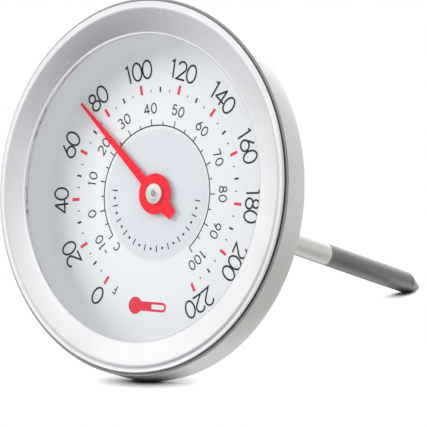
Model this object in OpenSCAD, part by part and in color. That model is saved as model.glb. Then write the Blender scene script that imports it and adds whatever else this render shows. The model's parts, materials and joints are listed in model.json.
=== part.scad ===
// Dial probe thermometer: a two inch bimetal head on a five inch stem.
// The stem lies along Y. The dial faces -Y and its twelve o'clock points to +Z.
// The origin is on the stem's axis, at the rear face of the hex fitting, where the bare stem begins.

/* [Head] */
// Diameter over the case
head_d = 51.4; // [51.2:0.1:54]
// Diameter of the window opening inside the bezel
opening_d = 41.7; // [41.2:0.1:42]
// Thickness of the bezel and case sheet
sheet_t = 0.6; // [0.5:0.05:0.65]
// Slope of the bezel's broad face, which falls inwards to the opening
face_slope = 10; // [8:0.5:12]
// Radius of the crown between the sloping face and the bezel's rim
crown_r = 1.2; // [1.1:0.05:1.6]
// Outside radius of the bend at the window opening
lip_r = 0.45; // [0.3:0.05:0.55]
// Outside radius of the rolled edge at the bezel's rim
roll_r = 0.35; // [0.3:0.05:0.4]
// Gap between the rolled edge and the case's front edge
hem_gap = 0.25; // [0.2:0.05:0.6]
// Width of the seal between the bezel and the case
seal_w = 0.2; // [0.15:0.05:0.25]
// Distance from the bezel's crest back to the dial face
dial_depth = 7.45; // [7.2:0.05:8]
// Distance from the dial face to the outside of the case back
back_depth = 2.4; // [2.3:0.1:3]
// Height of the seat that is pressed outwards around the fitting
seat_h = 1.2; // [1:0.1:2]
// Radius of the corner between the case's side and its back
corner_r = 1.2; // [1:0.1:1.6]
// Thickness of the window
lens_t = 1.5; // [1:0.1:1.6]

/* [Dial] */
// Radius of the flat face, where the dished wall begins
dial_flat_r = 18.9; // [18.7:0.1:19.1]
// Radius of the bend between the flat face and the dished wall
dish_r = 3.2; // [3:0.1:3.3]
// Thickness of the dial sheet
dial_t = 0.5; // [0.4:0.05:0.5]
// Radius of the raised disc in the middle of the dial
disc_r = 9; // [8:0.1:9.2]
// Height of the raised disc
disc_h = 0.2; // [0.1:0.05:0.25]

/* [Scale] */
// Temperature at the start of the scale, in degrees Fahrenheit
low_temp = 0; // [-40:10:30]
// Temperature at the end of the scale, in degrees Fahrenheit
high_temp = 220; // [180:10:250]
// Angle from the start of the scale to its end
sweep = 294.8; // [270:0.2:300]
// How far the middle of the scale lags behind an even scale, in degrees
scale_lag = 3.6; // [0:0.1:5]
// Temperature that the pointer shows at rest
rest_temp = 74; // [50:0.5:100]
// How far the scale is turned clockwise from upright
scale_turn = 1; // [-5:0.1:5]

/* [Pointer] */
// Distance from the axis to the pointer's tip
pointer_len = 18.4; // [16:0.1:18.6]
// Distance from the axis to the end of the tail
tail_len = 4.4; // [3.6:0.1:5]
// Radius of the pointer's round hub
pointer_hub_r = 2.8; // [2.2:0.1:3]
// Radius of the cap over the hub
cap_r = 1.45; // [1.2:0.05:1.6]

/* [Stem] */
// Diameter of the stem
stem_d = 3.2; // [3.2:0.1:4]
// Length of the probe, from the back of the case to the tip
stem_reach = 127; // [120:0.5:150]
// Length of the tapered point, with the short straight land that joins it to the tube
tip_h = 7.2; // [5:0.1:8]
// Thickness of the tube's wall
tube_t = 0.25; // [0.2:0.01:0.25]
// Diameter of the pointer shaft
shaft_d = 0.8; // [0.6:0.05:0.9]

/* [Fitting] */
// Width of the hex across its flats
hex_af = 9.5; // [8.5:0.1:11]
// Height of the hex
hex_h = 4.5; // [3.5:0.1:6]
// Radius of the neck that passes through the case
neck_r = 3.4; // [3.2:0.1:3.6]

/* [Coil] */
// Number of turns in the bimetal coil
coil_turns = 18; // [12:1:20]
// Length of the coil along the stem
coil_len = 40; // [34:1:42]

/* [Hidden] */

big_fn = 120;
small_fn = 48;
arc_steps = 10;

// Clearances: a running fit for what turns, a slip fit for what is pushed in, room for what only stands near
run_gap = 0.05;
slip_gap = 0.02;
room = 0.1;

// Planes along the stem's axis, from the fitting forwards
flange_t = 0.8;
washer_t = 0.35;
seat_y = -(hex_h + flange_t + washer_t);
back_y = seat_y - seat_h;
dial_y = back_y - back_depth;
crest_y = dial_y - dial_depth;
tip_y = back_y + stem_reach;

// Bezel, from its rim inwards: rolled edge, crown, sloping face and lip, each tangent to the next
case_r = head_d / 2;
case_in_r = case_r - sheet_t;
opening_r = opening_d / 2;
rim_slope = 45;
crown_reach = crown_r - roll_r;
rim_x = case_in_r - seal_w;
crown_c = [rim_x - crown_reach * sin(rim_slope), crest_y + crown_r];
rim_c = [rim_x, crown_c.y - crown_reach * cos(rim_slope)];
face_normal = [-sin(face_slope), -cos(face_slope)];
face_end = crown_c + crown_r * face_normal;
lip_x = opening_r + lip_r;
face_w = face_end.x - lip_x - lip_r * face_normal.x;
lip_c = [lip_x, face_end.y + face_w * tan(face_slope) - lip_r * face_normal.y];
lip_turn = 0.65;
lip_end_y = lip_c.y + lip_turn;
skirt_l = 3;
skirt_in_r = rim_x - sheet_t;
skirt_end_y = rim_c.y + skirt_l;
// Plane where the skirt's inside meets the underside of the crown
crown_in_y = crown_c.y - sqrt(pow(crown_r - sheet_t, 2) - pow(skirt_in_r - crown_c.x, 2));

// Stack behind the lip: gasket, window, dial flange
gasket_t = 0.3;
lens_y = lip_end_y + gasket_t;
flange_y = lens_y + lens_t;
lens_r = skirt_in_r - room;
dish_c = [dial_flat_r, dial_y - dish_r];
wall_r = dish_c.x + dish_r;
wall_out_r = wall_r + dial_t;

// Case
case_front_y = rim_c.y + roll_r + hem_gap;
seal_y = case_front_y + room;
seal_l = 1.6;
seat_r = 7;
seat_slope = 0.8;

// Fitting
hex_r = hex_af / 2 / cos(30);
fitting_flange_r = 6.2;
washer_r = 6;
spring_t = 0.3;
groove_depth = 0.5;
groove_w = 0.6;
neck_land = 0.6;
groove_r = neck_r - groove_depth;
groove_y = seat_y - sheet_t - spring_t;
neck_y = groove_y - groove_w - neck_land;
bearing_r = 2;
bearing_l = 1.2;

// Stem
stem_r = stem_d / 2;
tube_in_r = stem_r - tube_t;
shoulder = 0.3;
spigot_r = stem_r - shoulder;
spigot_in_r = spigot_r - tube_t;
spigot_y = neck_y + bearing_l + 2 * room;
shoulder_l = 0.4;
tube_end_y = tip_y - tip_h;
plug_l = 0.8;
shaft_r = shaft_d / 2;
bearing_bore_r = shaft_r + run_gap;

// Coil, from its anchor near the tip up to the shaft
anchor_t = 1;
anchor_core_l = 2;
strip_t = 0.12;
strip_w = 1.1;
coil_facets = 14;
coil_r = tube_in_r - 2 * room;
// Radius that stays clear of the flats inside the wound strip
coil_in_r = (coil_r - strip_t / 2) * cos(180 / coil_facets);
coil_end_y = tube_end_y - plug_l - anchor_t - 3 * room;
coil_start_y = coil_end_y - coil_len;
collet_l = 3;
shaft_end_y = coil_start_y + collet_l;

// Pointer stack on the shaft
pointer_t = 0.25;
bush_r = 1.2;
bush_h = 0.4;
bush_spigot_r = 0.8;
bush_y = dial_y - disc_h - 2 * room;
pointer_y = bush_y - bush_h;
cap_y = pointer_y - pointer_t;
cap_h = 0.7;
shaft_proud = 0.08;
shaft_top_y = cap_y - cap_h - shaft_proud;

// Points along an arc, with angles counted from the radius towards +Y
function arc(c, r, from, to, steps = arc_steps) =
    [for (i = [0:steps]) let (a = from + (to - from) * i / steps) c + r * [cos(a), sin(a)]];

// Angle of a temperature on the dial, clockwise from twelve o'clock
function dial_angle(temp) =
    let (t = (2 * temp - low_temp - high_temp) / (high_temp - low_temp))
    scale_turn + sweep / 2 * t + scale_lag * (t * t - 1);

// Turns a profile of [radius, y] points round the stem's axis
module turned(points, fn = small_fn) {
    rotate([-90, 0, 0]) rotate_extrude($fn = fn) polygon(points);
}

// A ring with a square section
module ring(r_in, r_out, y_from, y_to, fn = small_fn) {
    turned([[r_in, y_from], [r_out, y_from], [r_out, y_to], [r_in, y_to]], fn);
}

// A bar of constant section along the stem's axis
module along_stem(y_from, y_to) {
    translate([0, y_from, 0]) rotate([-90, 0, 0]) linear_extrude(y_to - y_from) children();
}

module bezel() {
    step = (rim_slope + face_slope) / arc_steps;
    front = concat(
        [[opening_r, lip_end_y]],
        arc(lip_c, lip_r, -180, -90 - face_slope),
        arc(crown_c, crown_r, -90 - face_slope, rim_slope - step - 90, arc_steps - 1),
        arc(rim_c, roll_r, rim_slope - 90, 90)
    );
    skirt = [[rim_x, skirt_end_y], [skirt_in_r, skirt_end_y], [skirt_in_r, crown_in_y]];
    in_r = crown_r - sheet_t;
    skirt_slope = asin((skirt_in_r - crown_c.x) / in_r);
    in_step = (skirt_slope + face_slope) / arc_steps;
    back = arc(crown_c, in_r, skirt_slope - in_step - 90, -90 - face_slope, arc_steps - 1);
    lip_in_r = opening_r + sheet_t;
    face_in = crown_c + in_r * face_normal;
    lip_in = [
        [lip_in_r, face_in.y + (face_in.x - lip_in_r) * tan(face_slope)],
        [lip_in_r, lip_end_y]
    ];
    color([0.82, 0.82, 0.84]) turned(concat(front, skirt, back, lip_in), big_fn);
}

module rim_seal() {
    color([0.1, 0.1, 0.1])
        ring(rim_x + slip_gap, case_in_r - slip_gap, seal_y, seal_y + seal_l, big_fn);
}

module lens_gasket() {
    color([0.45, 0.47, 0.49])
        ring(opening_r + room, lens_r - room, lip_end_y, lens_y, big_fn);
}

module lens() {
    edge = 0.2;
    color([0.9, 0.95, 1, 0.3]) turned([
        [0, lens_y], [lens_r - edge, lens_y], [lens_r, lens_y + edge],
        [lens_r, flange_y - edge], [lens_r - edge, flange_y], [0, flange_y]
    ], big_fn);
}

module dial_plate() {
    hole_r = bush_r + 2 * room;
    front = concat(
        [[hole_r, dial_y - disc_h], [disc_r - disc_h, dial_y - disc_h], [disc_r, dial_y]],
        arc(dish_c, dish_r, 90, 0),
        [[wall_r, flange_y], [lens_r, flange_y]]
    );
    back = concat(
        [[lens_r, flange_y + dial_t], [wall_out_r, flange_y + dial_t]],
        arc(dish_c, dish_r + dial_t, 0, 90),
        [[disc_r, dial_y + dial_t], [disc_r - disc_h, dial_y + dial_t - disc_h],
         [hole_r, dial_y + dial_t - disc_h]]
    );
    color([0.93, 0.94, 0.94]) turned(concat(front, back), big_fn);
}

module spacer_ring() {
    color([0.3, 0.3, 0.32]) ring(
        wall_out_r + 2 * room, case_in_r - (corner_r - sheet_t) - room,
        flange_y + dial_t, back_y - sheet_t, big_fn
    );
}

module case_shell() {
    edge_r = sheet_t / 2;
    corner_c = [case_r - corner_r, back_y - corner_r];
    outside = concat(
        arc([case_r - edge_r, case_front_y + edge_r], edge_r, -180, 0),
        arc(corner_c, corner_r, 0, 90),
        [[seat_r + seat_slope, back_y], [seat_r, seat_y], [neck_r + run_gap, seat_y]]
    );
    inside = concat(
        [[neck_r + run_gap, seat_y - sheet_t], [seat_r - edge_r, seat_y - sheet_t],
         [seat_r + seat_slope - edge_r, back_y - sheet_t]],
        arc(corner_c, corner_r - sheet_t, 90, 0)
    );
    color([0.74, 0.74, 0.72]) turned(concat(outside, inside), big_fn);
}

module friction_washer() {
    color([0.2, 0.2, 0.21]) ring(neck_r + run_gap, washer_r, seat_y, seat_y + washer_t);
}

module spring_washer() {
    rib_w = 1.6;
    color([0.6, 0.6, 0.62])
        ring(neck_r + run_gap, neck_r + rib_w, groove_y + slip_gap, seat_y - sheet_t - slip_gap);
}

module retaining_ring() {
    gap_w = 3.2;
    clip_w = 1.1;
    color([0.5, 0.5, 0.52]) difference() {
        ring(groove_r + slip_gap, neck_r + clip_w, groove_y - groove_w + slip_gap, groove_y - slip_gap);
        translate([-gap_w / 2, groove_y - groove_w, 0]) cube([gap_w, groove_w, 2 * neck_r]);
    }
}

module hex_fitting() {
    turned_r = hex_r + room;
    chamfer_h = (hex_r - hex_af / 2) * tan(30);
    hex_profile = [
        [0, 0], [hex_af / 2, 0], [turned_r, -chamfer_h], [turned_r, -hex_h], [0, -hex_h]
    ];
    color([0.7, 0.71, 0.72]) difference() {
        union() {
            intersection() {
                along_stem(-hex_h, 0) circle(r = hex_r, $fn = 6);
                turned(hex_profile);
            }
            ring(0, fitting_flange_r, -(hex_h + flange_t), -hex_h);
            ring(0, neck_r, neck_y, -hex_h);
        }
        ring(groove_r, neck_r + room, groove_y - groove_w, groove_y);
        ring(0, spigot_r + slip_gap, spigot_y - room, room);
        ring(0, bearing_r + slip_gap, neck_y - room, spigot_y);
    }
}

module stem_tube() {
    color([0.72, 0.71, 0.69]) turned([
        [spigot_in_r, spigot_y], [spigot_r, spigot_y], [spigot_r, 0], [stem_r, 0],
        [stem_r, tube_end_y], [tube_in_r, tube_end_y], [tube_in_r, shoulder_l], [spigot_in_r, shoulder_l]
    ]);
}

module stem_tip() {
    plug_r = tube_in_r - slip_gap;
    land = 0.35;
    nose_r = 0.25;
    taper_l = tip_h - land - nose_r;
    // Angle at which the taper runs into the rounded nose
    slope = acos(nose_r / norm([stem_r, taper_l])) - atan(taper_l / stem_r);
    color([0.72, 0.71, 0.69]) turned(concat(
        [[0, tube_end_y - plug_l], [plug_r, tube_end_y - plug_l], [plug_r, tube_end_y],
         [stem_r, tube_end_y], [stem_r, tube_end_y + land]],
        arc([0, tip_y - nose_r], nose_r, slope, 90, 6)
    ));
}

// A flat strip wound into a helix: four corner rails joined into one closed skin
module bimetal_coil() {
    steps = coil_turns * coil_facets;
    rise = coil_len - strip_w;
    corners = [[0, 0], [strip_t, 0], [strip_t, strip_w], [0, strip_w]];
    points = [
        for (i = [0:steps]) for (c = corners)
            let (a = i * 360 / coil_facets, r = coil_r - strip_t / 2 + c.x)
            [r * cos(a), coil_start_y + rise * i / steps + c.y, r * sin(a)]
    ];
    sides = [
        for (i = [0:steps - 1]) for (k = [0:3])
            let (p = 4 * i + k, q = 4 * i + (k + 1) % 4)
            [p, p + 4, q + 4, q]
    ];
    ends = [[0, 1, 2, 3], [4 * steps + 3, 4 * steps + 2, 4 * steps + 1, 4 * steps]];
    color([0.55, 0.5, 0.42]) polyhedron(points, concat(sides, ends), convexity = 10);
}

module coil_anchor() {
    head_y = tube_end_y - plug_l - anchor_t - slip_gap;
    head_r = tube_in_r - slip_gap;
    core_y = head_y - anchor_core_l;
    core_r = coil_in_r - slip_gap;
    color([0.65, 0.6, 0.5]) turned([
        [0, core_y], [core_r, core_y], [core_r, head_y],
        [head_r, head_y], [head_r, head_y + anchor_t], [0, head_y + anchor_t]
    ]);
}

module guide_bearings() {
    bush_l = 1.6;
    coil_gap = 1.4;
    for (y = [coil_start_y / 2, coil_start_y - bush_l - coil_gap])
        color([0.78, 0.62, 0.32])
            ring(bearing_bore_r, tube_in_r - slip_gap, y, y + bush_l);
}

module upper_bearing() {
    cone_h = 0.4;
    cone_r = 1.4;
    top_y = spigot_y - bearing_l;
    color([0.78, 0.62, 0.32]) turned([
        [bearing_bore_r, top_y - cone_h], [cone_r, top_y - cone_h], [bearing_r, top_y],
        [bearing_r, spigot_y - slip_gap], [bearing_bore_r, spigot_y - slip_gap]
    ]);
}

module pointer_shaft() {
    point = 0.15;
    color([0.7, 0.7, 0.72]) turned([
        [0, shaft_top_y + point], [shaft_r - point, shaft_top_y], [shaft_r, shaft_top_y + point],
        [shaft_r, shaft_end_y], [0, shaft_end_y]
    ]);
}

module coil_collet() {
    lead = 0.6;
    color([0.65, 0.6, 0.5])
        ring(shaft_r + slip_gap, coil_in_r - run_gap, coil_start_y - lead, shaft_end_y);
}

module pointer_bush() {
    color([0.78, 0.62, 0.32]) turned([
        [shaft_r + slip_gap, bush_y], [bush_r, bush_y], [bush_r, pointer_y],
        [bush_spigot_r, pointer_y], [bush_spigot_r, cap_y], [shaft_r + slip_gap, cap_y]
    ]);
}

module pointer() {
    root_w = 1.5;
    tip_w = 0.36;
    tail_root_w = 3;
    tail_w = 1.5;
    color([0.9, 0.12, 0.2]) translate([0, pointer_y, 0]) rotate([90, 0, 0])
        linear_extrude(pointer_t) rotate(-dial_angle(rest_temp)) difference() {
            union() {
                circle(r = pointer_hub_r, $fn = 64);
                polygon([
                    [-root_w / 2, 0], [root_w / 2, 0], [tip_w / 2, pointer_len], [-tip_w / 2, pointer_len]
                ]);
                polygon([
                    [-tail_root_w / 2, 0], [-tail_w / 2, -tail_len],
                    [tail_w / 2, -tail_len], [tail_root_w / 2, 0]
                ]);
            }
            circle(r = bush_spigot_r + slip_gap, $fn = small_fn);
        }
}

module pointer_cap() {
    bead_r = 0.35;
    stake_w = 0.3;
    stake_h = 0.04;
    color([0.86, 0.85, 0.8]) turned(concat(
        [[shaft_r + slip_gap, cap_y], [cap_r, cap_y]],
        arc([cap_r - bead_r, cap_y - cap_h + bead_r], bead_r, 0, -90, 6),
        [[shaft_r + stake_w, cap_y - cap_h - stake_h], [shaft_r + slip_gap, cap_y - cap_h + room]]
    ));
}

bezel();
rim_seal();
lens_gasket();
lens();
dial_plate();
spacer_ring();
case_shell();
friction_washer();
spring_washer();
retaining_ring();
hex_fitting();
stem_tube();
stem_tip();
bimetal_coil();
coil_anchor();
guide_bearings();
upper_bearing();
pointer_shaft();
coil_collet();
pointer_bush();
pointer();
pointer_cap();
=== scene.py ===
"""Looks of a dial probe thermometer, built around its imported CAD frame.

The stem lies along Y, the dial faces -Y and its twelve o'clock points to +Z. Angles on the dial run
clockwise from twelve o'clock. Profiles are lists of (distance from the axis, place along Y) points.
"""

import json
import math

import bmesh
import bpy
from mathutils import Matrix, Vector


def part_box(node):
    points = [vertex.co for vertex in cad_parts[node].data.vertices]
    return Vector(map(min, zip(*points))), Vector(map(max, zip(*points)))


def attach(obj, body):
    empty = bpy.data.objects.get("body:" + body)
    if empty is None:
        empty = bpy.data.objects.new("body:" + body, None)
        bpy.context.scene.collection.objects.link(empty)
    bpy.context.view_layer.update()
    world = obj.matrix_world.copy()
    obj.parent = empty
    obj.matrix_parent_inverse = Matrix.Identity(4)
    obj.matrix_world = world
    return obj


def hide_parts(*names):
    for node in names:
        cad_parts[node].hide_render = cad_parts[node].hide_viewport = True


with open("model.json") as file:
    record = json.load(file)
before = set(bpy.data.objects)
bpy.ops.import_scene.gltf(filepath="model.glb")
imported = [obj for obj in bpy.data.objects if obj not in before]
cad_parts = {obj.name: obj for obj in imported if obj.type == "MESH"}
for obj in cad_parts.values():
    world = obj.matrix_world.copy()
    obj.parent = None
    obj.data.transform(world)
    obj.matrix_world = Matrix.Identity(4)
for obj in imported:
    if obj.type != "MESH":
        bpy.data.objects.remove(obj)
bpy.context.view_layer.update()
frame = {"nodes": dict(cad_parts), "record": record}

MM = 0.001

# Sheet metal of the head
SHEET = 0.6 * MM
LIP_R = 0.45 * MM
LIP_TURN = 0.65 * MM
FACE_SLOPE = math.radians(10)
CROWN_R = 1.2 * MM
RIM_SLOPE = math.radians(45)
ROLL_R = 0.35 * MM
CORNER_R = 1.2 * MM
EDGE_BEVEL = 0.15 * MM
GROUND_EDGE = 0.2 * MM
SEAT_R = 7 * MM
SEAT_SLOPE = 0.8 * MM
SEAT_H = 1.2 * MM

# Dial plate
DIAL_SHEET = 0.5 * MM
DISH_WALL_R = 22.1 * MM
DISH_R = 3.2 * MM
DISC_R = 9 * MM
DISC_H = 0.2 * MM
DISC_ROUND = 0.25 * MM

# Scale: temperatures, and the ink's height and its depth in the paint
LOW_TEMP = 0
HIGH_TEMP = 220
LOW_CELSIUS = -10
HIGH_CELSIUS = 100
SWEEP = math.radians(294.8)
SCALE_LAG = math.radians(3.6)
SCALE_TURN = math.radians(1)
INK = 0.02 * MM
INK_ROOT = 0.004 * MM

# Scale: layout, with each kind of tick as (start past its circle, length, pen)
TICK_IN_R = 13.9 * MM
MAIN_TICK = (0, 1.28 * MM, 0.42 * MM)
MIDDLE_TICK = (0, 0.74 * MM, 0.27 * MM)
FINE_TICK = (0.05 * MM, 0.37 * MM, 0.13 * MM)
INNER_LONG_TICK = (-0.01 * MM, 0.82 * MM, 0.16 * MM)
INNER_SHORT_TICK = (-0.01 * MM, 0.45 * MM, 0.16 * MM)
NUMERAL_R = 17.15 * MM
NUMERAL_H = 2.4 * MM
NUMERAL_PEN = 0.27 * MM
INNER_RING_R = 9.45 * MM
INNER_RING_PEN = 0.17 * MM
INNER_RING_STEPS = 180
INNER_NUMERAL_R = 11.8 * MM
INNER_NUMERAL_H = 1.32 * MM
INNER_NUMERAL_PEN = 0.18 * MM
INNER_SPREAD = 0.2
UNIT_PEN = 0.16 * MM
F_LETTER_R = 14.75 * MM
F_LETTER_LEAD = math.radians(8)
F_LETTER_H = 1.15 * MM
C_LETTER_R = 9.9 * MM
C_LETTER_LEAD = math.radians(10)
C_LETTER_H = 1.1 * MM
RULE_R = 7.45 * MM
RULE_H = 0.9 * MM
RULE_PEN = 0.16 * MM
RULE_DOT = 0.36 * MM
RULE_START = math.radians(94)
RULE_END = math.radians(272)
RULE_STEPS = 22
EMBLEM_R = 15.4 * MM
EMBLEM_ANGLE = math.radians(181.2)
EMBLEM_H = 2.4 * MM
EMBLEM_PEN = 0.34 * MM

# Stem
TUBE_T = 0.25 * MM
FINISH_Y = 70.3 * MM
FINISH_BLEND = 0.15 * MM
SHOULDER_L = 0.4 * MM
TIP_LAND = 0.35 * MM
NOSE_R = 0.25 * MM
SLIP_GAP = 0.02 * MM
JOINT_BEVEL = 0.04 * MM

# Steps round a turned piece
FINE = 256
STEM_FINE = 96

# Studio tent: grey levels round it, from behind through the left, the front and the right to behind
TENT = [
    (0.00, 0.80), (0.045, 0.74), (0.06, 0.10), (0.10, 0.10), (0.13, 0.90), (0.36, 1.15),
    (0.50, 1.20), (0.61, 1.10), (0.66, 0.80), (0.72, 0.60), (0.77, 0.72), (1.0, 0.80),
]
FILL = (0.83, 0.86, 0.895)

# Patches of the tent: a grey corner round one direction, a bright card and a grey stretch on the wall
# behind, where a direction's Y passes REAR_WALL_Y, and a ceiling. They fade in over spans of its X and Z
GREY_CORNER = (-0.193, -0.937, -0.29)
GREY_SPREAD = (math.radians(3), math.radians(40))
REAR_WALL_Y = 0.8
CARD_X = (0.16, -0.06)
CARD_Z = (0.0, 0.15)
REAR_GREY_X = (0.0, 0.2)
REAR_GREY_Z = (0.05, -0.25)
CEILING_Z = (0.46, 0.68)

# Lights and floor
KEY_PLACE = (-0.54, -0.57, 0.16)
KEY_SIZE = 0.34
KEY_POWER = 2.6
FLOOR_R = 0.34
FLOOR_REACH = 0.055
FLOOR_FADE = (2.5 * MM, 9 * MM)
FLOOR_LIGHT_HEIGHT = 0.6
FLOOR_LIGHT_REACH = 0.09
FLOOR_LIGHT_SIZE = 0.5
FLOOR_LIGHT_POWER = 17

# Camera: a far viewpoint with its film plane tilted back, so that upright sizes look taller
VIEW_AZIMUTH = math.radians(22.30)
VIEW_ELEVATION = math.radians(-4.82)
VIEW_ROLL = math.radians(-4.75)
FILM_TILT = math.radians(35.21)
FILM_TURN = math.radians(-0.43)
VIEW_DISTANCE = 1.2
SENSOR = 36
LENS = 497.58
SHIFT_X = 0.2364
SHIFT_Y = 9.70995


# ---------------------------------------------------------------- frame measurements

def reach(node):
    """Least and greatest distance of a CAD node's points from the stem's axis."""
    radii = [math.hypot(v.co.x, v.co.z) for v in frame["nodes"][node].data.vertices]
    return min(radii), max(radii)


OPENING_R, RIM_R = reach("bezel")
CREST_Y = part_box("bezel")[0].y
SKIRT_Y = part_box("bezel")[1].y
LENS_R = reach("lens")[1]
FLANGE_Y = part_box("dial_plate")[0].y
DIAL_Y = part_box("dial_plate")[1].y - DIAL_SHEET
HUB_HOLE_R = reach("dial_plate")[0]
NECK_HOLE_R, CASE_R = reach("case_shell")
CASE_FRONT_Y, SEAT_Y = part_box("case_shell")[0].y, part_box("case_shell")[1].y
BACK_Y = SEAT_Y - SEAT_H
STEM_R = reach("stem_tube")[1]
SPIGOT_IN_R = reach("stem_tube")[0]
SPIGOT_Y, TUBE_END_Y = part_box("stem_tube")[0].y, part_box("stem_tube")[1].y
PLUG_Y, TIP_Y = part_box("stem_tip")[0].y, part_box("stem_tip")[1].y
TUBE_IN_R = STEM_R - TUBE_T
SPIGOT_R = SPIGOT_IN_R + TUBE_T


def dial_angle(temp):
    """Angle of a Fahrenheit temperature on the dial."""
    t = (2 * temp - LOW_TEMP - HIGH_TEMP) / (HIGH_TEMP - LOW_TEMP)
    return SCALE_TURN + SWEEP / 2 * t + SCALE_LAG * (t * t - 1)


def celsius_angle(temp):
    """Angle of a Celsius temperature on the dial."""
    return dial_angle(temp * 1.8 + 32)


# ---------------------------------------------------------------- mesh helpers

def arc(centre, radius, start, end, step=6):
    """Points along an arc. Angles are in degrees and count from straight outwards towards +Y."""
    count = max(2, math.ceil(abs(end - start) / step))
    angles = [math.radians(start + (end - start) * i / count) for i in range(count + 1)]
    return [(centre[0] + radius * math.cos(a), centre[1] + radius * math.sin(a)) for a in angles]


def add_piece(name, bm, body, material, sharp):
    """Turns a bmesh into a piece that rides on a body. Edges sharper than so many degrees stay sharp."""
    bmesh.ops.recalc_face_normals(bm, faces=bm.faces)
    mesh = bpy.data.meshes.new(name)
    bm.to_mesh(mesh)
    bm.free()
    mesh.polygons.foreach_set("use_smooth", [True] * len(mesh.polygons))
    mesh.set_sharp_from_angle(angle=math.radians(sharp))
    mesh.materials.append(material)
    piece = bpy.data.objects.new(name, mesh)
    bpy.context.scene.collection.objects.link(piece)
    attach(piece, body)
    return piece


def lathe_ring(bm, radius, y, steps):
    """One ring of vertices round the axis, or a single one on it."""
    if radius == 0:
        return [bm.verts.new((0, y, 0))]
    turns = [2 * math.pi * i / steps for i in range(steps)]
    return [bm.verts.new((radius * math.sin(t), y, radius * math.cos(t))) for t in turns]


def join_rings(bm, first, second):
    """Faces between two neighbouring rings."""
    count = max(len(first), len(second))
    if count == 1:
        return
    for i in range(count):
        j = (i + 1) % count
        near = [first[i % len(first)], first[j % len(first)]]
        far = [second[j % len(second)], second[i % len(second)]]
        bm.faces.new(list(dict.fromkeys(near + far)))


def lathe(name, profile, body, material, steps=FINE, sharp=32):
    """A closed profile turned round the stem's axis."""
    bm = bmesh.new()
    rings = [lathe_ring(bm, r, y, steps) for r, y in profile]
    for first, second in zip(rings, rings[1:] + rings[:1]):
        join_rings(bm, first, second)
    return add_piece(name, bm, body, material, sharp)


# ---------------------------------------------------------------- materials
# Noise scales count features in a metre, and those of polar() count them in a metre or a radian.

class Shader:
    """Builds the node tree of a material or a world with short calls."""

    def __init__(self, name, owner=None, place="Object"):
        self.owner = owner or bpy.data.materials.new(name)
        self.owner.use_nodes = True
        self.tree = self.owner.node_tree
        self.tree.nodes.clear()
        self.place = self.node("ShaderNodeTexCoord").outputs[place]

    def node(self, kind, inputs=None, **settings):
        made = self.tree.nodes.new(kind)
        for key, value in settings.items():
            setattr(made, key, value)
        for key, value in (inputs or {}).items():
            self.feed(made.inputs[key], value)
        return made

    def feed(self, socket, value):
        if isinstance(value, bpy.types.NodeSocket):
            self.tree.links.new(value, socket)
        else:
            socket.default_value = value

    def math(self, operation, a, b=0.0):
        return self.node("ShaderNodeMath", {0: a, 1: b}, operation=operation).outputs[0]

    def vector(self, operation, a, b):
        """A number worked out from two vectors."""
        return self.node("ShaderNodeVectorMath", {0: a, 1: b}, operation=operation).outputs["Value"]

    def split(self):
        """X, Y and Z of the place on the object, or of the direction in a world."""
        return self.node("ShaderNodeSeparateXYZ", {0: self.place}).outputs

    def join(self, x, y, z):
        return self.node("ShaderNodeCombineXYZ", {0: x, 1: y, 2: z}).outputs[0]

    def radius(self):
        """Distance from the stem's axis."""
        x, _, z = self.split()
        square = self.math("ADD", self.math("MULTIPLY", x, x), self.math("MULTIPLY", z, z))
        return self.math("SQRT", square)

    def polar(self, radial, along, around):
        """Coordinates round the stem's axis, with a scale for each direction."""
        x, y, z = self.split()
        return self.join(
            self.math("MULTIPLY", self.radius(), radial),
            self.math("MULTIPLY", y, along),
            self.math("MULTIPLY", self.math("ARCTAN2", x, z), around),
        )

    def noise(self, vector, scale, detail=3.0, rough=0.55):
        inputs = {"Vector": vector, "Scale": scale, "Detail": detail, "Roughness": rough}
        return self.node("ShaderNodeTexNoise", inputs).outputs[0]

    def fit(self, value, low, high, to_low, to_high):
        """Maps a value from one range to another, clamped."""
        inputs = {"Value": value, "From Min": low, "From Max": high, "To Min": to_low, "To Max": to_high}
        return self.node("ShaderNodeMapRange", inputs).outputs[0]

    def mix(self, factor, a, b):
        made = self.node("ShaderNodeMix", data_type="RGBA")
        self.feed(made.inputs[0], factor)
        self.feed(made.inputs[6], a)
        self.feed(made.inputs[7], b)
        return made.outputs[2]

    def bump(self, height, distance, strength, normal=None):
        inputs = {"Height": height, "Distance": distance, "Strength": strength}
        if normal is not None:
            inputs["Normal"] = normal
        return self.node("ShaderNodeBump", inputs).outputs[0]

    def surface(self, color, roughness, metallic, normal):
        inputs = {"Base Color": color, "Roughness": roughness, "Metallic": metallic, "Normal": normal}
        return self.output(self.node("ShaderNodeBsdfPrincipled", inputs).outputs[0])

    def ramp(self, value, stops):
        """A colour ramp through (place, grey) stops, eased between them."""
        made = self.node("ShaderNodeValToRGB", {0: value})
        made.color_ramp.interpolation = "EASE"
        elements = made.color_ramp.elements
        for place, grey in stops[1:-1]:
            elements.new(place).color = rgb(grey, grey, grey)
        for element, (place, grey) in ((elements[0], stops[0]), (elements[-1], stops[-1])):
            element.position = place
            element.color = rgb(grey, grey, grey)
        return made.outputs[0]

    def output(self, shader, kind="ShaderNodeOutputMaterial"):
        self.node(kind, {"Surface": shader})
        return self.owner


def rgb(red, green, blue):
    return (red, green, blue, 1.0)


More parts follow.
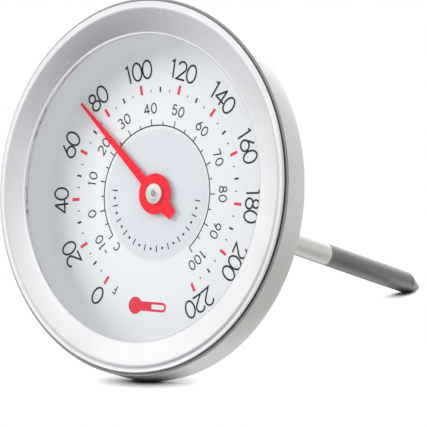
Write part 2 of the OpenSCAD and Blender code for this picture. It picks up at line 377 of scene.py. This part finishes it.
def spun_steel(name, color, roughness, grain=0.06, turns=2.5, edge_shade_y=None):
    """Steel sheet finished on a lathe: fine lines round the axis, a few longer marks and a faint haze.

    In front of a given place along Y the sheet's front edge gets painted shade, a dark grey that stands for
    the crevice behind the bezel's rim.
    """
    s = Shader(name)
    lines = s.noise(s.polar(9000, 9000, turns), 1.0, 4.0, 0.6)
    marks = s.noise(s.polar(2600, 2600, turns * 3), 1.0, 2.0)
    haze = s.noise(s.place, 90.0, 3.0)
    pits = s.noise(s.place, 2600.0, 2.0)
    scratch = s.fit(marks, 0.66, 0.74, 0.0, 1.0)
    rough = s.fit(lines, 0.3, 0.7, roughness - grain, roughness + grain)
    rough = s.math("ADD", rough, s.fit(haze, 0.3, 0.7, -0.03, 0.03))
    rough = s.math("ADD", rough, s.math("MULTIPLY", scratch, 0.10))
    dark = tuple(c * 0.90 for c in color[:3]) + (1.0,)
    tint = s.mix(s.fit(haze, 0.25, 0.75, 0.0, 1.0), color, dark)
    tint = s.mix(s.math("MULTIPLY", scratch, 0.25), tint, rgb(0.95, 0.95, 0.96))
    relief = s.bump(lines, 0.004 * MM, 0.55)
    relief = s.bump(pits, 0.002 * MM, 0.35, relief)
    # Painted shade: the front edge is darkened where it sits in the crevice behind the rim.
    if edge_shade_y is not None:
        edge_shade = s.fit(s.split()[1], edge_shade_y, edge_shade_y + EDGE_BEVEL, 1.0, 0.0)
        tint = s.mix(edge_shade, tint, rgb(0.30, 0.30, 0.30))
    return s.surface(tint, rough, 1.0, relief)


def stem_steel(name):
    """Ground tube steel: bright near the head and dark over the sensing end."""
    s = Shader(name)
    y = s.split()[1]
    lines = s.noise(s.polar(0, 14000, 1.5), 1.0, 4.0, 0.6)
    draw = s.noise(s.polar(0, 60, 26), 1.0, 3.0)
    haze = s.noise(s.place, 120.0, 3.0)
    sensing = s.fit(y, FINISH_Y - FINISH_BLEND, FINISH_Y + FINISH_BLEND, 0.0, 1.0)
    bright = s.mix(haze, rgb(0.74, 0.73, 0.71), rgb(0.62, 0.61, 0.59))
    dark = s.mix(haze, rgb(0.130, 0.123, 0.112), rgb(0.098, 0.092, 0.084))
    tint = s.mix(sensing, bright, dark)
    tint = s.mix(s.fit(draw, 0.55, 0.75, 0.0, 0.18), tint, rgb(0.85, 0.85, 0.84))
    rough = s.math("ADD", s.fit(lines, 0.3, 0.7, 0.20, 0.34), s.fit(draw, 0.3, 0.7, -0.03, 0.05))
    relief = s.bump(lines, 0.004 * MM, 0.5)
    return s.surface(tint, rough, 1.0, relief)


def turned_metal(name, color, roughness):
    """Small turned or stamped metal pieces."""
    s = Shader(name)
    lines = s.noise(s.polar(16000, 16000, 1.2), 1.0, 3.0)
    haze = s.noise(s.place, 500.0, 3.0)
    dark = tuple(c * 0.78 for c in color[:3]) + (1.0,)
    tint = s.mix(s.fit(haze, 0.3, 0.7, 0.0, 1.0), color, dark)
    rough = s.fit(lines, 0.3, 0.7, roughness - 0.06, roughness + 0.08)
    return s.surface(tint, rough, 1.0, s.bump(lines, 0.004 * MM, 0.6))


def satin_paint(name, color, shade, roughness, disc_r=None):
    """Baked paint: a faint orange peel, slow colour drift and tiny dust specks.

    Inside disc_r the coat is a little cooler and darker.
    """
    s = Shader(name)
    peel = s.noise(s.place, 1500.0, 2.0)
    drift = s.noise(s.place, 70.0, 3.0)
    specks = s.fit(s.noise(s.place, 5200.0, 1.0), 0.74, 0.80, 0.0, 0.25)
    tint = s.mix(s.fit(drift, 0.25, 0.75, 0.0, 1.0), color, shade)
    tint = s.mix(specks, tint, tuple(c * 0.75 for c in color[:3]) + (1.0,))
    if disc_r is not None:
        inside = s.fit(s.radius(), disc_r - DISC_ROUND, disc_r, 1.0, 0.0)
        tint = s.mix(inside, tint, rgb(0.75, 0.762, 0.778))
    rough = s.fit(peel, 0.3, 0.7, roughness - 0.05, roughness + 0.05)
    return s.surface(tint, rough, 0.0, s.bump(peel, 0.006 * MM, 0.35))


def ink(name, color, shade):
    """Printed ink: slightly uneven density and a dull gloss."""
    s = Shader(name)
    density = s.noise(s.place, 2400.0, 3.0)
    tint = s.mix(s.fit(density, 0.3, 0.75, 0.0, 1.0), color, shade)
    return s.surface(tint, s.fit(density, 0.3, 0.7, 0.42, 0.58), 0.0, s.bump(density, 0.003 * MM, 0.4))


def rubber(name, color):
    """Matt rubber or moulded plastic: a fine grain and slightly lighter worn places."""
    s = Shader(name)
    grain = s.noise(s.place, 3500.0, 3.0)
    wear = s.noise(s.place, 220.0, 3.0)
    light = tuple(c * 1.5 for c in color[:3]) + (1.0,)
    tint = s.mix(s.fit(wear, 0.35, 0.75, 0.0, 1.0), color, light)
    return s.surface(tint, s.fit(grain, 0.3, 0.7, 0.55, 0.75), 0.0, s.bump(grain, 0.01 * MM, 0.5))


def window(name):
    """Clear window: shadows and light pass, and the camera sees a weak reflection at flat angles."""
    s = Shader(name)
    smear = s.noise(s.place, 60.0, 3.0)
    rough = s.fit(smear, 0.3, 0.7, 0.02, 0.07)
    gloss = s.node("ShaderNodeBsdfGlossy", {"Color": rgb(1, 1, 1), "Roughness": rough})
    clear = s.node("ShaderNodeBsdfTransparent", {"Color": rgb(0.985, 0.992, 0.995)})
    facing = s.node("ShaderNodeLayerWeight", {"Blend": 0.12}).outputs["Fresnel"]
    path = s.node("ShaderNodeLightPath").outputs
    share = s.math("MULTIPLY", s.math("MULTIPLY", facing, 0.35), path["Is Camera Ray"])
    mixed = s.node("ShaderNodeMixShader", {0: share, 1: clear.outputs[0], 2: gloss.outputs[0]})
    return s.output(mixed.outputs[0])


BEZEL_STEEL = spun_steel("bezel_steel", rgb(0.84, 0.84, 0.86), 0.15)
# The case's front edge carries painted shade for the crevice behind the bezel's rim.
CASE_STEEL = spun_steel("case_steel", rgb(0.74, 0.735, 0.715), 0.27, edge_shade_y=CASE_FRONT_Y + EDGE_BEVEL)
FITTING_STEEL = spun_steel("fitting_steel", rgb(0.66, 0.67, 0.68), 0.26, 0.08, 1.5)
STEM_STEEL = stem_steel("stem_steel")
SPRING_STEEL = turned_metal("spring_steel", rgb(0.55, 0.55, 0.57), 0.32)
BIMETAL = turned_metal("bimetal", rgb(0.52, 0.46, 0.36), 0.38)
BRASS = turned_metal("bearing_brass", rgb(0.78, 0.58, 0.26), 0.28)
CAP_NICKEL = turned_metal("cap_nickel", rgb(0.95, 0.93, 0.86), 0.34)
DIAL_WHITE = satin_paint("dial_white", rgb(0.895, 0.885, 0.88), rgb(0.88, 0.87, 0.865), 0.42, disc_r=DISC_R)
POINTER_RED = satin_paint("pointer_red", rgb(1.0, 0.011, 0.032), rgb(0.95, 0.009, 0.026), 0.36)
INK_BLACK = ink("ink_black", rgb(0.012, 0.012, 0.014), rgb(0.03, 0.03, 0.032))
INK_RED = ink("ink_red", rgb(0.82, 0.03, 0.06), rgb(0.90, 0.06, 0.10))
GASKET = rubber("gasket_rubber", rgb(0.05, 0.05, 0.055))
SPACER = rubber("spacer_plastic", rgb(0.10, 0.10, 0.11))
WINDOW = window("window_clear")


# ---------------------------------------------------------------- head

def bezel_profile():
    """Bent lip, face that slopes inwards, crown, rolled rim and skirt of the front ring."""
    sin_face, cos_face, tan_face = math.sin(FACE_SLOPE), math.cos(FACE_SLOPE), math.tan(FACE_SLOPE)
    rim_reach = CROWN_R - ROLL_R
    rim_x = RIM_R - ROLL_R
    crown = (rim_x - rim_reach * math.sin(RIM_SLOPE), CREST_Y + CROWN_R)
    rim = (rim_x, crown[1] - rim_reach * math.cos(RIM_SLOPE))
    face_end = (crown[0] - CROWN_R * sin_face, crown[1] - CROWN_R * cos_face)
    lip_x = OPENING_R + LIP_R
    face_w = face_end[0] - lip_x + LIP_R * sin_face
    lip = (lip_x, face_end[1] + face_w * tan_face + LIP_R * cos_face)
    under = CROWN_R - SHEET
    face_in = (crown[0] - under * sin_face, crown[1] - under * cos_face)
    skirt_in = rim_x - SHEET
    lip_in = OPENING_R + SHEET
    skirt_slope = math.asin((skirt_in - crown[0]) / under)
    start, bend, end = (math.degrees(slope) - 90 for slope in (-FACE_SLOPE, RIM_SLOPE, skirt_slope))
    return (
        [(OPENING_R, lip[1] + LIP_TURN)]
        + arc(lip, LIP_R, -180, start, 8)
        + arc(crown, CROWN_R, start, bend, 5)[:-1]
        + arc(rim, ROLL_R, bend, 90, 10)
        + [(rim_x, SKIRT_Y), (skirt_in, SKIRT_Y)]
        + arc(crown, under, end, start, 5)
        + [(lip_in, face_in[1] + (face_in[0] - lip_in) * tan_face), (lip_in, lip[1] + LIP_TURN)]
    )


def case_profile():
    """Drawn cup with a round front edge, a rounded rear corner and a raised seat round the fitting."""
    corner = (CASE_R - CORNER_R, BACK_Y - CORNER_R)
    edge_r = SHEET / 2
    seat_foot = SEAT_R + SEAT_SLOPE
    return (
        arc((CASE_R - edge_r, CASE_FRONT_Y + edge_r), edge_r, -180, 0, 15)
        + arc(corner, CORNER_R, 0, 90)
        + [(seat_foot + EDGE_BEVEL, BACK_Y), (seat_foot - EDGE_BEVEL, BACK_Y + EDGE_BEVEL)]
        + [(SEAT_R + EDGE_BEVEL, SEAT_Y - EDGE_BEVEL), (SEAT_R - EDGE_BEVEL, SEAT_Y)]
        + [(NECK_HOLE_R, SEAT_Y), (NECK_HOLE_R, SEAT_Y - SHEET), (SEAT_R - edge_r, SEAT_Y - SHEET)]
        + [(seat_foot - edge_r, BACK_Y - SHEET)]
        + arc(corner, CORNER_R - SHEET, 90, 0)
    )


def dial_profile():
    """Dished plate with a flange in front and a raised disc in the middle."""
    dish = (DISH_WALL_R - DISH_R, DIAL_Y - DISH_R)
    disc_y = DIAL_Y - DISC_H
    back_disc_y = disc_y + DIAL_SHEET
    return (
        [(HUB_HOLE_R, disc_y), (DISC_R - DISC_ROUND, disc_y)]
        + [(DISC_R - DISC_ROUND / 3, disc_y + DISC_H / 5), (DISC_R + DISC_ROUND / 3, DIAL_Y - DISC_H / 5)]
        + [(DISC_R + DISC_ROUND, DIAL_Y)]
        + arc(dish, DISH_R, 90, 0, 4)
        + [(DISH_WALL_R, FLANGE_Y + EDGE_BEVEL), (DISH_WALL_R + EDGE_BEVEL, FLANGE_Y), (LENS_R, FLANGE_Y)]
        + [(LENS_R, FLANGE_Y + DIAL_SHEET), (DISH_WALL_R + DIAL_SHEET, FLANGE_Y + DIAL_SHEET)]
        + arc(dish, DISH_R + DIAL_SHEET, 0, 90)
        + [(DISC_R, DIAL_Y + DIAL_SHEET), (DISC_R - DISC_H, back_disc_y), (HUB_HOLE_R, back_disc_y)]
    )


def lens_profile():
    """Flat window with ground edges."""
    front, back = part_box("lens")[0].y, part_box("lens")[1].y
    return [
        (0, front), (LENS_R - GROUND_EDGE, front), (LENS_R, front + GROUND_EDGE),
        (LENS_R, back - GROUND_EDGE), (LENS_R - GROUND_EDGE, back), (0, back),
    ]


def tube_profile():
    """Thin tube with a narrower spigot that sits in the fitting."""
    return [
        (SPIGOT_IN_R, SPIGOT_Y), (SPIGOT_R, SPIGOT_Y), (SPIGOT_R, 0), (STEM_R - JOINT_BEVEL, 0),
        (STEM_R, JOINT_BEVEL), (STEM_R, TUBE_END_Y - JOINT_BEVEL), (STEM_R - JOINT_BEVEL, TUBE_END_Y),
        (TUBE_IN_R, TUBE_END_Y), (TUBE_IN_R, SHOULDER_L), (SPIGOT_IN_R, SHOULDER_L),
    ]


def tip_profile():
    """Plug, short land, long taper and a small rounded nose that the taper meets on a tangent."""
    nose = (0, TIP_Y - NOSE_R)
    taper = nose[1] - TUBE_END_Y - TIP_LAND
    slope = math.degrees(math.acos(NOSE_R / math.hypot(STEM_R, taper)) - math.atan2(taper, STEM_R))
    plug_r = TUBE_IN_R - SLIP_GAP
    return (
        [(0, PLUG_Y), (plug_r, PLUG_Y), (plug_r, TUBE_END_Y), (STEM_R - JOINT_BEVEL, TUBE_END_Y)]
        + [(STEM_R, TUBE_END_Y + JOINT_BEVEL), (STEM_R, TUBE_END_Y + TIP_LAND)]
        + arc(nose, NOSE_R, slope, 90, 15)[:-1]
        + [(0, TIP_Y)]
    )


def build_stem():
    tube = lathe("probe_tube", tube_profile(), "stem", STEM_STEEL, STEM_FINE)
    point = lathe("probe_point", tip_profile(), "stem", STEM_STEEL, STEM_FINE, 60)
    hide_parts("stem_tube")
    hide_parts("stem_tip")


def build_head():
    bezel = lathe("bezel_ring", bezel_profile(), "head", BEZEL_STEEL, sharp=50)
    case = lathe("case_cup", case_profile(), "head", CASE_STEEL, sharp=50)
    dial = lathe("dial_dish", dial_profile(), "head", DIAL_WHITE, sharp=50)
    lens = lathe("window_disc", lens_profile(), "head", WINDOW)
    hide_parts("bezel")
    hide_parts("case_shell")
    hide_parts("dial_plate")
    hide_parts("lens")


# ---------------------------------------------------------------- glyphs and ink

# A glyph is a list of strokes, in parts of its height, and stands from 0 to 1. A stroke is closed, open or
# filled. ADVANCE is the room that a narrow glyph takes, and PLAIN_ADVANCE is what the others take.

OVAL_STEP = 10


def oval(cx, cy, rx, ry, start=0, end=360):
    """Points along an oval, with angles in degrees counted anticlockwise from the right."""
    count = round(abs(end - start) / OVAL_STEP)
    angles = [math.radians(start + (end - start) * i / count) for i in range(count + 1)]
    return [(cx + rx * math.cos(a), cy + ry * math.sin(a)) for a in angles]


def loop(cx, cy, rx, ry):
    """A whole oval, whose repeated last point is left out."""
    return ("closed", oval(cx, cy, rx, ry)[:-1])


def line(*points):
    return ("open", list(points))


def disc(cx, cy, radius):
    return ("filled", oval(cx, cy, radius, radius)[:-1])


def upside_down(strokes):
    return [(kind, [(-x, 1 - y) for x, y in points]) for kind, points in strokes]


SIX = [loop(0, 0.31, 0.31, 0.31), line((0.13, 1.0), (-0.27, 0.46))]
GLYPHS = {
    "0": [loop(0, 0.5, 0.33, 0.5)],
    "1": [line((-0.15, 0.90), (0.02, 1.0), (0.02, 0.0))],
    "2": [line(*oval(0, 0.70, 0.30, 0.30, 165, -38), (-0.31, 0.0), (0.31, 0.0))],
    "3": [
        line(*oval(0, 0.755, 0.24, 0.245, 150, -90)),
        line(*oval(0, 0.255, 0.29, 0.255, 90, -150)),
    ],
    "4": [
        line((0.13, 0.0), (0.13, 1.0)),
        line((0.13, 1.0), (-0.36, 0.27)),
        line((-0.40, 0.27), (0.36, 0.27)),
    ],
    "5": [line((0.24, 1.0), (-0.17, 1.0), (-0.24, 0.50)), line(*oval(0, 0.31, 0.31, 0.31, 142, -150))],
    "6": SIX,
    "7": [line((-0.30, 1.0), (0.29, 1.0), (-0.10, 0.0))],
    "8": [loop(0, 0.765, 0.23, 0.235), loop(0, 0.265, 0.30, 0.265)],
    "9": upside_down(SIX),
    "-": [line((-0.20, 0.5), (0.20, 0.5))],
    "F": [line((-0.20, 0.0), (-0.20, 1.0), (0.26, 1.0)), line((-0.20, 0.52), (0.18, 0.52))],
    "C": [line(*oval(0.05, 0.5, 0.40, 0.5, 48, 312))],
    "dot": [disc(0, 0.5, 0.5)],
    "thermometer": [
        disc(0.92, 0.5, 0.5),
        ("closed", [(0.60, 0.30)] + oval(-1.12, 0.5, 0.21, 0.21, 270, 90) + [(0.60, 0.71)]),
        ("filled", [(0.62, 0.33), (-0.30, 0.33), (-0.30, 0.68), (0.62, 0.68)]),
    ],
}
ADVANCE = {"1": 0.52, "-": 0.55}
PLAIN_ADVANCE = 0.74
MITRE_LIMIT = 0.4


def side_steps(points, closed):
    """Sideways step to the band's edge at each point, mitred where the path turns."""
    count = len(points)
    steps = []
    for i in range(count):
        before = points[i - 1] if closed or i > 0 else None
        after = points[(i + 1) % count] if closed or i < count - 1 else None
        here = Vector(points[i])
        into = (here - Vector(before)).normalized() if before else (Vector(after) - here).normalized()
        out = (Vector(after) - here).normalized() if after else into
        middle = (into + out).normalized()
        stretch = 1 / max(MITRE_LIMIT, middle.dot(into))
        steps.append(Vector((-middle.y, middle.x)) * stretch)
    return steps


def band(bm, points, closed, half_width, thick):
    """A flat band along a path, as a closed solid that stands on the plane z = 0."""
    rows = []
    for point, step in zip(points, side_steps(points, closed)):
        left = Vector(point) + step * half_width
        right = Vector(point) - step * half_width
        corners = [(left, 0), (right, 0), (right, thick), (left, thick)]
        rows.append([bm.verts.new((spot.x, spot.y, z)) for spot, z in corners])
    pairs = list(zip(rows, rows[1:]))
    if closed:
        pairs.append((rows[-1], rows[0]))
    else:
        bm.faces.new(rows[0])
        bm.faces.new(rows[-1])
    for first, second in pairs:
        for k in range(4):
            bm.faces.new([first[k], first[(k + 1) % 4], second[(k + 1) % 4], second[k]])


def plate(bm, points, thick):
    """A flat solid inside a path, which stands on the plane z = 0."""
    low = [bm.verts.new((x, y, 0)) for x, y in points]
    high = [bm.verts.new((x, y, thick)) for x, y in points]
    bm.faces.new(low)
    bm.faces.new(high)
    for i in range(len(points)):
        j = (i + 1) % len(points)
        bm.faces.new([low[i], low[j], high[j], high[i]])


def stroke_object(stroke, half_width, thick):
    """One stroke as an object of its own, for the union of a glyph's strokes."""
    kind, points = stroke
    bm = bmesh.new()
    if kind == "filled":
        plate(bm, points, thick)
    else:
        band(bm, points, kind == "closed", half_width, thick)
    bmesh.ops.recalc_face_normals(bm, faces=bm.faces)
    mesh = bpy.data.meshes.new("stroke")
    bm.to_mesh(mesh)
    bm.free()
    made = bpy.data.objects.new("stroke", mesh)
    bpy.context.scene.collection.objects.link(made)
    return made


def merged_glyph(strokes, half_width, thick):
    """One closed mesh from a glyph's strokes, in parts of the glyph's height."""
    objects = [stroke_object(stroke, half_width, thick) for stroke in strokes]
    for other in objects[1:]:
        union = objects[0].modifiers.new("union", "BOOLEAN")
        union.operation = "UNION"
        union.solver = "EXACT"
        union.object = other
    bpy.context.view_layer.update()
    graph = bpy.context.evaluated_depsgraph_get()
    mesh = bpy.data.meshes.new_from_object(objects[0].evaluated_get(graph))
    for made in objects:
        bpy.data.objects.remove(made)
    return mesh


class Print:
    """Ink on a flat part of the dial: collects closed solids in one mesh."""

    def __init__(self, plane):
        self.plane = plane + INK_ROOT
        self.bm = bmesh.new()
        self.cache = {}

    def stamp(self, mesh, radius, angle, size):
        """Copies a mesh of unit height to the dial, with its top outwards and its middle at the radius."""
        outward = Vector((math.sin(angle), 0, math.cos(angle)))
        across = Vector((math.cos(angle), 0, -math.sin(angle)))
        start = len(self.bm.verts)
        self.bm.from_mesh(mesh)
        self.bm.verts.ensure_lookup_table()
        for vert in self.bm.verts[start:]:
            x, y, z = vert.co
            place = outward * (radius + (y - 0.5) * size) + across * (x * size)
            vert.co = place + Vector((0, self.plane - z * size, 0))

    def glyph(self, char, pen, size):
        """A glyph's mesh of unit height, made once for each pen and size."""
        key = (char, pen, size)
        if key not in self.cache:
            self.cache[key] = merged_glyph(GLYPHS[char], pen / size / 2, (INK + INK_ROOT) / size)
        return self.cache[key]

    def text(self, string, radius, angle, size, pen, spread=0.0):
        """Glyphs along an arc, centred on an angle. Extra room between them is in parts of their height."""
        widths = [(ADVANCE.get(char, PLAIN_ADVANCE) + spread) * size for char in string]
        x = -sum(widths) / 2
        for char, width in zip(string, widths):
            self.stamp(self.glyph(char, pen, size), radius, angle + (x + width / 2) / radius, size)
            x += width

    def path(self, points, pen):
        """A band along (radius, angle) points."""
        flat = [(r * math.sin(a), r * math.cos(a)) for r, a in points]
        start = len(self.bm.verts)
        band(self.bm, flat, False, pen / 2, INK + INK_ROOT)
        self.bm.verts.ensure_lookup_table()
        for vert in self.bm.verts[start:]:
            x, z, height = vert.co
            vert.co = (x, self.plane - height, z)

    def tick(self, angle, circle, kind):
        """A bar across a circle of the dial. Its kind holds its start past the circle, length and pen."""
        start, length, pen = kind
        self.path([(circle + start, angle), (circle + start + length, angle)], pen)

    def finish(self, name, slot, material):
        return add_piece(name, self.bm, "head", material, 30)


def fahrenheit_scale(black, red):
    """Red ticks and numerals every 20 degrees, bold black ticks between them and fine ones at the fives."""
    for temp in range(LOW_TEMP, HIGH_TEMP + 1, 5):
        angle = dial_angle(temp)
        if temp % 20 == 0:
            red.tick(angle, TICK_IN_R, MAIN_TICK)
            black.text(str(temp), NUMERAL_R, angle, NUMERAL_H, NUMERAL_PEN)
        elif temp % 10 == 0:
            black.tick(angle, TICK_IN_R, MIDDLE_TICK)
        else:
            black.tick(angle, TICK_IN_R, FINE_TICK)


def celsius_scale(black):
    """Fine ring with ticks every five degrees and small numerals every ten."""
    start = celsius_angle(LOW_CELSIUS)
    step = (celsius_angle(HIGH_CELSIUS) - start) / INNER_RING_STEPS
    black.path([(INNER_RING_R, start + step * i) for i in range(INNER_RING_STEPS + 1)], INNER_RING_PEN)
    ring_edge = INNER_RING_R + INNER_RING_PEN / 2
    for temp in range(LOW_CELSIUS, HIGH_CELSIUS + 1, 5):
        angle = celsius_angle(temp)
        if temp % 10 == 0:
            black.tick(angle, ring_edge, INNER_LONG_TICK)
            black.text(str(temp), INNER_NUMERAL_R, angle, INNER_NUMERAL_H, INNER_NUMERAL_PEN, INNER_SPREAD)
        else:
            black.tick(angle, ring_edge, INNER_SHORT_TICK)


def unit_letters(black):
    """The letters that name each scale's unit, just before its first numeral."""
    black.text("F", F_LETTER_R, dial_angle(LOW_TEMP) - F_LETTER_LEAD, F_LETTER_H, UNIT_PEN)
    black.text("C", C_LETTER_R, celsius_angle(LOW_CELSIUS) - C_LETTER_LEAD, C_LETTER_H, UNIT_PEN)


def dotted_rule(black):
    """Dots and short bars in turn, along an arc below the hub."""
    dot = black.glyph("dot", RULE_PEN, RULE_DOT)
    for i in range(RULE_STEPS + 1):
        angle = RULE_START + (RULE_END - RULE_START) * i / RULE_STEPS
        if i % 2:
            black.stamp(dot, RULE_R, angle, RULE_DOT)
        else:
            black.tick(angle, RULE_R, (-RULE_H / 2, RULE_H, RULE_PEN))


def build_print():
    black, red, rule = Print(DIAL_Y), Print(DIAL_Y), Print(DIAL_Y - DISC_H)
    fahrenheit_scale(black, red)
    celsius_scale(black)
    unit_letters(black)
    dotted_rule(rule)
    red.stamp(red.glyph("thermometer", EMBLEM_PEN, EMBLEM_H), EMBLEM_R, EMBLEM_ANGLE, EMBLEM_H)
    black.finish("scale_print_black", "dial_white", INK_BLACK)
    rule.finish("rule_print", "dial_white", INK_BLACK)
    red.finish("scale_print_red", "pointer_red", INK_RED)


# ---------------------------------------------------------------- stage, light and camera

def floor_contacts():
    """Normal of the floor, and the spots where the case's rear corner and the stem's end rest on it."""
    corner = Vector((CASE_R - CORNER_R, BACK_Y - CORNER_R))
    gap = Vector((corner.x - STEM_R, TUBE_END_Y + TIP_LAND - corner.y))
    slope = math.atan2(gap.x, gap.y) + math.asin(CORNER_R / gap.length)
    down = Vector((0, 0, -1))
    along = Vector((0, 1, 0))
    normal = -down * math.cos(slope) - along * math.sin(slope)
    touch = down * corner.x + along * corner.y - normal * CORNER_R
    stem_touch = along * (TUBE_END_Y + TIP_LAND) - normal * STEM_R
    return normal, touch, stem_touch


def floor_material(contacts):
    """Pale studio sheet that melts into the white round it away from its contacts with the object."""
    s = Shader("floor_sheet")
    grain = s.noise(s.place, 900.0, 3.0)
    tone = s.mix(grain, rgb(0.26, 0.26, 0.262), rgb(0.24, 0.24, 0.242))
    paper = s.node("ShaderNodeBsdfDiffuse", {"Color": tone})
    clear = s.node("ShaderNodeBsdfTransparent")
    geometry = s.node("ShaderNodeNewGeometry").outputs
    gaps = [s.vector("DISTANCE", geometry["Position"], spot) for spot in contacts]
    fade = s.fit(s.math("MINIMUM", *gaps), *FLOOR_FADE, 0.0, 1.0)
    hidden = s.math("MAXIMUM", fade, geometry["Backfacing"])
    mixed = s.node("ShaderNodeMixShader", {0: hidden, 1: paper.outputs[0], 2: clear.outputs[0]})
    return s.output(mixed.outputs[0])


def build_floor():
    """Floor under the head and the stem, with a light of its own that keeps it white round its shadows."""
    normal, touch, stem_touch = floor_contacts()
    centre = touch + (Vector((0, 1, 0)) - normal * normal.y).normalized() * FLOOR_REACH
    bm = bmesh.new()
    bmesh.ops.create_circle(bm, cap_ends=True, segments=96, radius=FLOOR_R)
    mesh = bpy.data.meshes.new("floor")
    bm.to_mesh(mesh)
    bm.free()
    mesh.materials.append(floor_material((touch, stem_touch)))
    floor = bpy.data.objects.new("floor", mesh)
    floor.matrix_world = Matrix.Translation(centre) @ normal.to_track_quat("Z", "Y").to_matrix().to_4x4()
    bpy.context.scene.collection.objects.link(floor)
    lit = bpy.data.collections.new("floor_only")
    lit.objects.link(floor)
    place = touch + normal * FLOOR_LIGHT_HEIGHT + Vector((0, FLOOR_LIGHT_REACH, 0))
    light = soft_light("floor_light", place, touch, FLOOR_LIGHT_SIZE, FLOOR_LIGHT_POWER)
    light.light_linking.receiver_collection = lit


def rear_patch(s, x_span, z_span):
    """Share of a soft patch on the wall behind the object, which fades in along both spans."""
    x, y, z = s.split()
    share = s.math("MULTIPLY", s.fit(x, *x_span, 0.0, 1.0), s.fit(z, *z_span, 0.0, 1.0))
    return s.math("MULTIPLY", share, s.math("GREATER_THAN", y, REAR_WALL_Y))


def reflected_studio(s):
    """What metal sees: a light tent, dimmer on the right, with a grey corner in front and, behind the
    object, a dark gap, a bright card and a grey stretch."""
    x, y, z = s.split()
    around = s.math("ARCTAN2", x, s.math("MULTIPLY", y, -1.0))
    place = s.fit(around, -math.pi, math.pi, 0.0, 1.0)
    tent = s.ramp(place, TENT)
    aside = s.math("ARCCOSINE", s.vector("DOT_PRODUCT", s.place, GREY_CORNER))
    tent = s.mix(s.fit(aside, *GREY_SPREAD, 1.0, 0.0), tent, rgb(0.36, 0.36, 0.385))
    tent = s.mix(rear_patch(s, CARD_X, CARD_Z), tent, rgb(1.4, 1.4, 1.4))
    tent = s.mix(rear_patch(s, REAR_GREY_X, REAR_GREY_Z), tent, rgb(0.54, 0.54, 0.535))
    return s.mix(s.fit(z, *CEILING_Z, 0.0, 1.0), tent, rgb(1.1, 1.1, 1.12))


def studio_world():
    """White for the camera, a soft even fill for matt surfaces and a light tent for metal."""
    world = bpy.data.worlds.new("studio")
    world.cycles.sampling_method = "NONE"
    s = Shader("studio", world, "Generated")
    path = s.node("ShaderNodeLightPath").outputs
    fill = s.mix(path["Is Glossy Ray"], rgb(*FILL), reflected_studio(s))
    seen = s.mix(path["Is Camera Ray"], fill, rgb(1, 1, 1))
    s.output(s.node("ShaderNodeBackground", {0: seen}).outputs[0], "ShaderNodeOutputWorld")
    bpy.context.scene.world = world


def soft_light(name, place, target, size, power):
    """A square area light aimed at a point."""
    data = bpy.data.lights.new(name, "AREA")
    data.size = size
    data.energy = power
    light = bpy.data.objects.new(name, data)
    light.location = place
    light.visible_glossy = False
    light.rotation_mode = "QUATERNION"
    light.rotation_quaternion = (Vector(target) - Vector(place)).to_track_quat("-Z", "Y")
    bpy.context.scene.collection.objects.link(light)
    return light


def build_lights():
    studio_world()
    soft_light("key_light", KEY_PLACE, (0, DIAL_Y, 0), KEY_SIZE, KEY_POWER)


def viewpoint():
    """Place and turn of the photograph's viewpoint."""
    target = Vector((0, DIAL_Y, 0))
    back = Vector((
        math.sin(VIEW_AZIMUTH) * math.cos(VIEW_ELEVATION),
        -math.cos(VIEW_AZIMUTH) * math.cos(VIEW_ELEVATION),
        math.sin(VIEW_ELEVATION),
    ))
    right = (-back).cross(Vector((0, 0, 1))).normalized()
    upward = right.cross(-back)
    level = Matrix((right, upward, back)).transposed()
    turn = (
        level
        @ Matrix.Rotation(-VIEW_ROLL, 3, "Z")
        @ Matrix.Rotation(-FILM_TILT, 3, "X")
        @ Matrix.Rotation(-FILM_TURN, 3, "Y")
    )
    return target + back * VIEW_DISTANCE, turn


def shift_driver(camera, anchor, path, amount):
    """Shifts the film only while the camera is within 1 mm of its anchor, so other views stay centred."""
    curve = camera.data.driver_add(path)
    curve.modifiers.remove(curve.modifiers[0])
    curve.keyframe_points.add(2)
    for key, spot in zip(curve.keyframe_points, ((0, amount), (MM, 0))):
        key.co = spot
        key.interpolation = "CONSTANT"
    curve.driver.type = "SUM"
    gap = curve.driver.variables.new()
    gap.type = "LOC_DIFF"
    gap.targets[0].id = camera
    gap.targets[1].id = anchor


def build_camera():
    place, turn = viewpoint()
    anchor = bpy.data.objects.new("viewpoint", None)
    anchor.location = place
    bpy.context.scene.collection.objects.link(anchor)
    camera = bpy.data.objects.new("camera", bpy.data.cameras.new("camera"))
    camera.data.lens = LENS
    camera.data.sensor_width = SENSOR
    camera.data.clip_start = 0.1
    camera.data.clip_end = 10
    camera.rotation_mode = "QUATERNION"
    camera.location = place
    camera.rotation_quaternion = turn.to_quaternion()
    bpy.context.scene.collection.objects.link(camera)
    bpy.context.scene.camera = camera
    shift_driver(camera, anchor, "shift_x", SHIFT_X)
    shift_driver(camera, anchor, "shift_y", SHIFT_Y)


def finish_cad_nodes():
    """Gives each carried CAD node its procedural material."""
    choices = {
        "bezel_steel": BEZEL_STEEL, "case_steel": CASE_STEEL, "fitting_steel": FITTING_STEEL,
        "stem_steel": STEM_STEEL, "spring_steel": SPRING_STEEL, "bimetal": BIMETAL,
        "bearing_brass": BRASS, "cap_nickel": CAP_NICKEL, "window": WINDOW,
        "gasket_rubber": GASKET, "spacer_plastic": SPACER, "dial_white": DIAL_WHITE,
        "pointer_red": POINTER_RED,
    }
    for part in frame["record"]["subparts"]:
        mesh = frame["nodes"][part["node"]].data
        mesh.materials.clear()
        mesh.materials.append(choices[part["material_slot"]])


finish_cad_nodes()
build_head()
build_stem()
build_print()
build_floor()
build_lights()
build_camera()
bpy.context.scene.view_settings.view_transform = "Standard"
